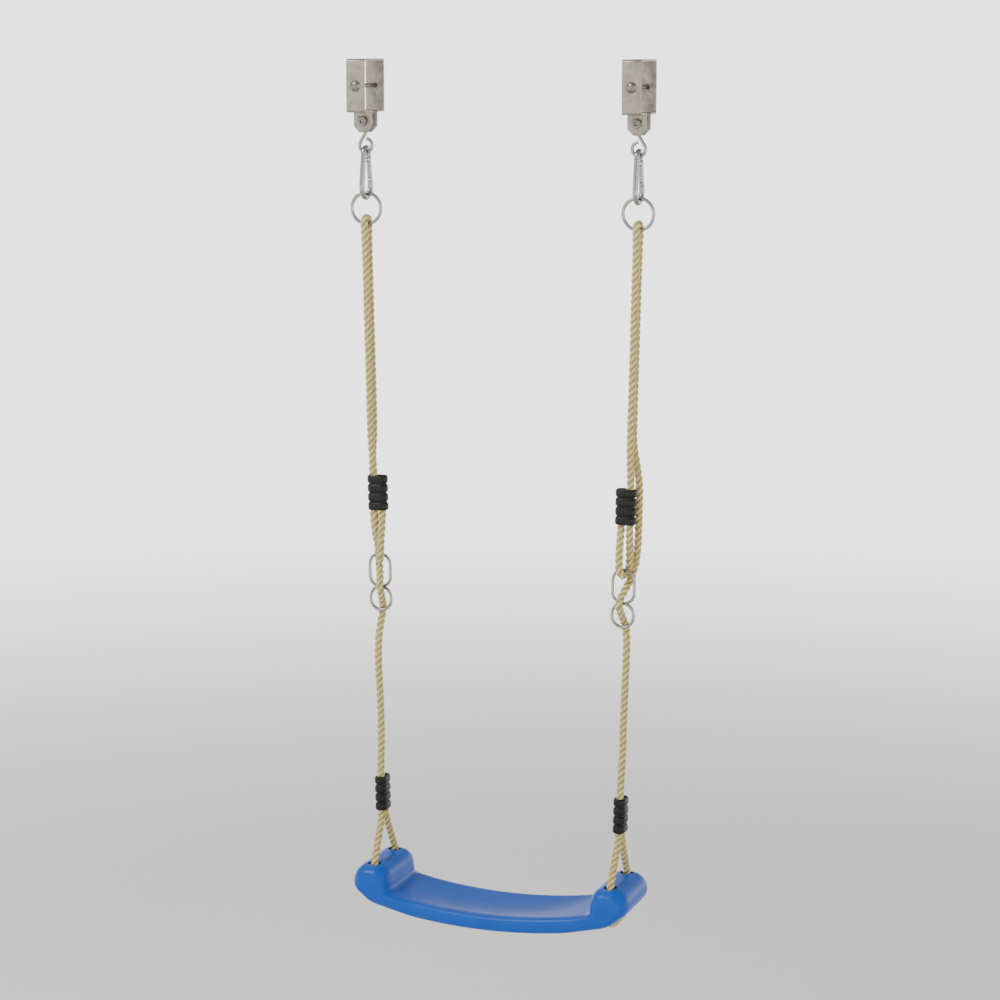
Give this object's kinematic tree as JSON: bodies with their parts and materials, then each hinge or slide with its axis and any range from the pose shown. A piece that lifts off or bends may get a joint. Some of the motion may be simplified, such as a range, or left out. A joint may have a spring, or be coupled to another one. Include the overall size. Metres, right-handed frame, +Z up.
{
  "type": "board swing",
  "caption": "Curved moulded board seat on adjustable laid ropes, hung from a square beam by steel clamps, hooks and snap hooks.",
  "frame": {"origin": "midway between the two clamps, on the beam's centre plane, at the level of the beam's underside", "axes": "+X along the beam, +Y from the sitter's front to the back, +Z up"},
  "size_m": [0.463, 0.13, 1.2685],
  "materials": {
    "zinc_strap": "hot-dip galvanised strip, satin",
    "zinc_bolt": "zinc plated, satin",
    "zinc_wire": "zinc plated wire, semi-gloss",
    "spring_steel": "plain spring wire",
    "nylon": "moulded, satin",
    "hemp_rope": "three-strand laid rope",
    "black_rubber": "moulded, matt",
    "seat_plastic": "blow-moulded, semi-gloss"
  },
  "bodies": {
    "root": {"left_strap": "zinc_strap", "left_strap_bolt": "zinc_bolt", "left_strap_washer": "zinc_bolt", "left_strap_nut": "zinc_bolt", "left_clevis_bolt": "zinc_bolt", "left_clevis_nut": "zinc_bolt", "left_hook_bush": "nylon", "left_hook": "zinc_wire", "right_strap": "zinc_strap", "right_strap_bolt": "zinc_bolt", "right_strap_washer": "zinc_bolt", "right_strap_nut": "zinc_bolt", "right_clevis_bolt": "zinc_bolt", "right_clevis_nut": "zinc_bolt", "right_hook_bush": "nylon", "right_hook": "zinc_wire"},
    "left_carabiner": {"left_snap_hook": "zinc_wire", "left_gate_pin": "zinc_bolt"},
    "left_gate_arm": {"left_gate": "zinc_wire", "left_gate_plunger": "zinc_bolt", "left_gate_spring": "spring_steel"},
    "left_line": {"left_ring": "zinc_wire", "left_rope": "hemp_rope", "left_upper_sleeve": "black_rubber", "left_adjuster": "zinc_wire", "left_lower_sleeve": "black_rubber"},
    "right_carabiner": {"right_snap_hook": "zinc_wire", "right_gate_pin": "zinc_bolt"},
    "right_gate_arm": {"right_gate": "zinc_wire", "right_gate_plunger": "zinc_bolt", "right_gate_spring": "spring_steel"},
    "right_line": {"right_ring": "zinc_wire", "right_rope": "hemp_rope", "right_upper_sleeve": "black_rubber", "right_adjuster": "zinc_wire", "right_lower_sleeve": "black_rubber"},
    "board": {"seat": "seat_plastic"}
  },
  "joints": [
    {"name": "swing", "type": "hinge", "parent": "root", "child": "left_carabiner", "pos_m": [-0.2065, 0, -0.06075], "axis": [1, 0, 0], "range_deg": [-45, 45]},
    {"name": "swing_right", "type": "hinge", "parent": "root", "child": "right_carabiner", "pos_m": [0.2065, 0, -0.06075], "axis": [1, 0, 0], "range_deg": [-46, 46]},
    {"name": "sway", "type": "hinge", "parent": "left_carabiner", "child": "left_line", "pos_m": [-0.2065, 0, -0.12595], "axis": [0, 1, 0], "range_deg": [-5, 5]},
    {"name": "sway_right", "type": "hinge", "parent": "right_carabiner", "child": "right_line", "pos_m": [0.2065, 0, -0.12595], "axis": [0, 1, 0], "range_deg": [-5.2, 5.2]},
    {"name": "seat_level", "type": "hinge", "parent": "left_line", "child": "board", "pos_m": [-0.184, 0, -1.146], "axis": [0, 1, 0], "range_deg": [-5.8, 5.8]},
    {"name": "left_gate_hinge", "type": "hinge", "parent": "left_carabiner", "child": "left_gate_arm", "pos_m": [-0.2065, 0.00994, -0.06853], "axis": [-1, 0, 0], "range_deg": [0, 22], "stiffness_Nm_per_rad": 0.05, "springref_deg": -11.46},
    {"name": "right_gate_hinge", "type": "hinge", "parent": "right_carabiner", "child": "right_gate_arm", "pos_m": [0.2065, 0.00994, -0.06853], "axis": [-1, 0, 0], "range_deg": [0, 22], "stiffness_Nm_per_rad": 0.05, "springref_deg": -11.46}
  ],
  "couplings": [
    {"joint": "swing_right", "follows": "swing", "ratio": 1},
    {"joint": "sway_right", "follows": "sway", "ratio": 1},
    {"joint": "seat_level", "follows": "sway", "ratio": -1.1223}
  ]
}
